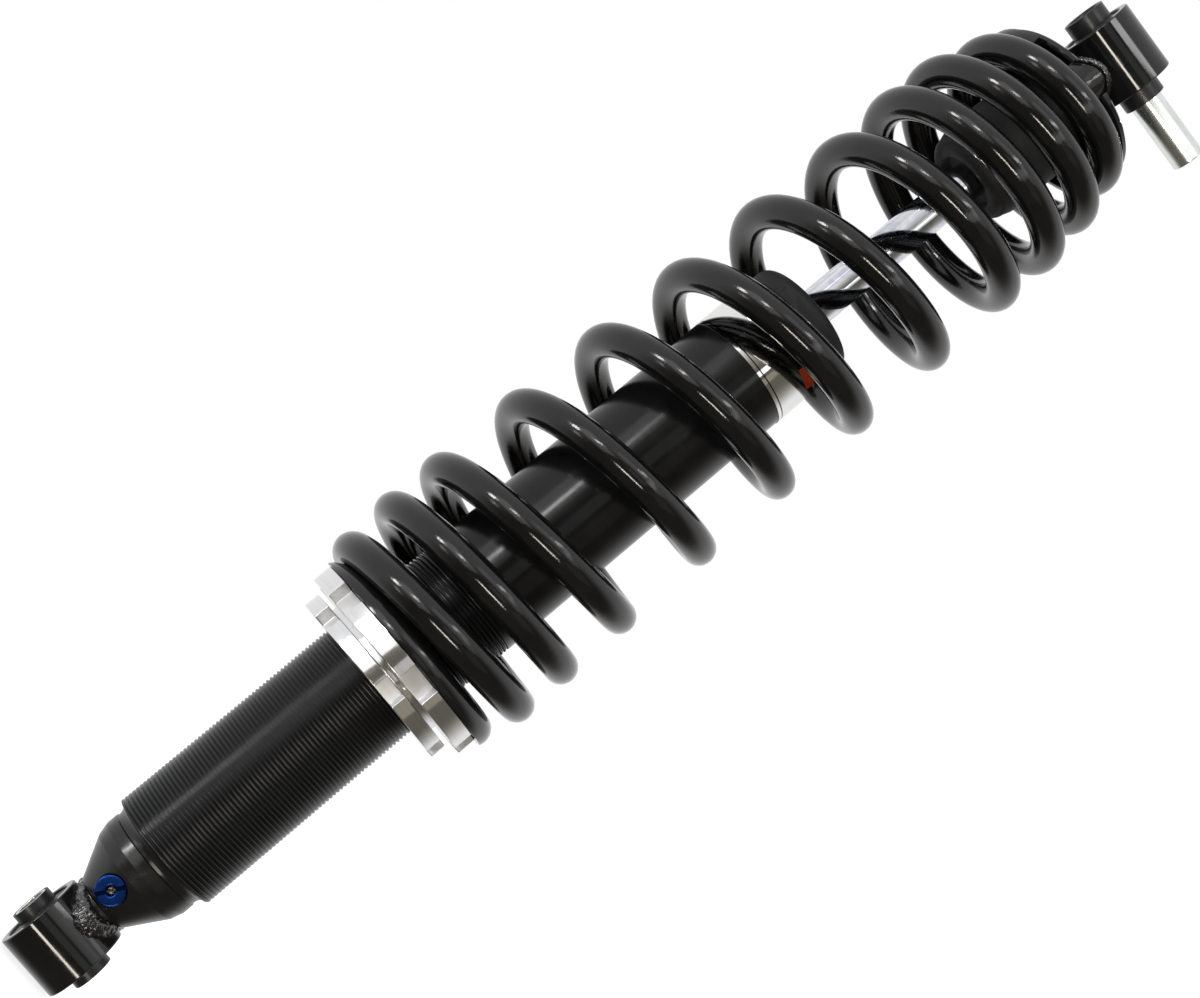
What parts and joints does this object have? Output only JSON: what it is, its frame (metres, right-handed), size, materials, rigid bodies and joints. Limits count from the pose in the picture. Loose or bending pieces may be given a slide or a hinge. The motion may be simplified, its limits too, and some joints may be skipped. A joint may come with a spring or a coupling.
{
  "type": "strut assembly",
  "caption": "Coil-over gas shock absorber with a threaded body, castellated preload and lock rings, a progressive coil spring, a bump stop and an eye at each end.",
  "frame": {"origin": "centre of the lower eye's bolt bore", "axes": "+Z along the strut towards the upper eye, X along both eye bores with +X on the side the upper sleeve stands out, -Y on the fill screw's side"},
  "size_m": [0.0906, 0.088, 0.5055],
  "materials": {
    "black_coating": "black satin gloss",
    "spring_coating": "black gloss powder coat",
    "polished_aluminium": "polished",
    "rod_chrome": "hard chrome, ground",
    "zinc_steel": "bright zinc",
    "spring_steel": "bare",
    "bronze": "plain",
    "bushing_plastic": "satin",
    "ptfe": "bronze-filled PTFE",
    "bump_rubber": "matt",
    "seal_rubber": "matt",
    "label_foil": "silver foil",
    "blue_anodised": "blue anodised"
  },
  "bodies": {
    "body": {"lower_eye": "black_coating", "lower_weld": "black_coating", "lower_bushings": "bushing_plastic", "end_cone": "black_coating", "fill_screw": "blue_anodised", "fill_pellet": "seal_rubber", "shock_body": "black_coating", "label_band": "label_foil", "end_cap": "black_coating", "wiper": "seal_rubber", "retaining_clip": "spring_steel", "seal_head": "polished_aluminium", "head_oring": "seal_rubber", "rod_seal": "seal_rubber", "rod_bush": "bronze"},
    "rod": {"rod": "rod_chrome", "topout_bumper": "bump_rubber", "compression_shims": "spring_steel", "piston": "polished_aluminium", "piston_band": "ptfe", "rebound_shims": "spring_steel", "piston_nut": "zinc_steel", "bump_stop": "bump_rubber", "bump_cup": "zinc_steel", "spring_retainer": "black_coating", "rod_boss": "black_coating", "upper_weld": "black_coating", "upper_eye": "black_coating", "upper_bushings": "bushing_plastic"},
    "floating_piston": {"floating_piston": "polished_aluminium", "floating_oring": "seal_rubber"},
    "preload_ring": {"preload_ring": "polished_aluminium", "coil_spring": "spring_coating"},
    "lock_ring": {"lock_ring": "polished_aluminium"},
    "lower_sleeve": {"lower_sleeve": "zinc_steel"},
    "upper_sleeve": {"upper_sleeve": "zinc_steel"}
  },
  "joints": [
    {"name": "rod_slide", "type": "slide", "parent": "body", "child": "rod", "axis": [0, 0, 1], "range_m": [-0.095, 0], "stiffness_N_per_m": 45000, "springref_m": 0.01, "deforming": ["coil_spring", "bump_stop"]},
    {"name": "floating_piston_slide", "type": "slide", "parent": "body", "child": "floating_piston", "axis": [0, 0, 1], "range_m": [-0.0145, 0]},
    {"name": "preload_travel", "type": "slide", "parent": "body", "child": "preload_ring", "axis": [0, 0, 1], "range_m": [-0.06, 0]},
    {"name": "lock_ring_backoff", "type": "slide", "parent": "preload_ring", "child": "lock_ring", "axis": [0, 0, 1], "range_m": [-0.012, 0]},
    {"name": "lower_sleeve_turn", "type": "hinge", "parent": "body", "child": "lower_sleeve", "pos_m": [0, 0, 0], "axis": [1, 0, 0], "continuous": true},
    {"name": "upper_sleeve_slide", "type": "slide", "parent": "rod", "child": "upper_sleeve", "axis": [1, 0, 0], "range_m": [-0.0273, 0]}
  ],
  "couplings": [
    {"joint": "floating_piston_slide", "follows": "rod_slide", "ratio": 0.15123}
  ]
}
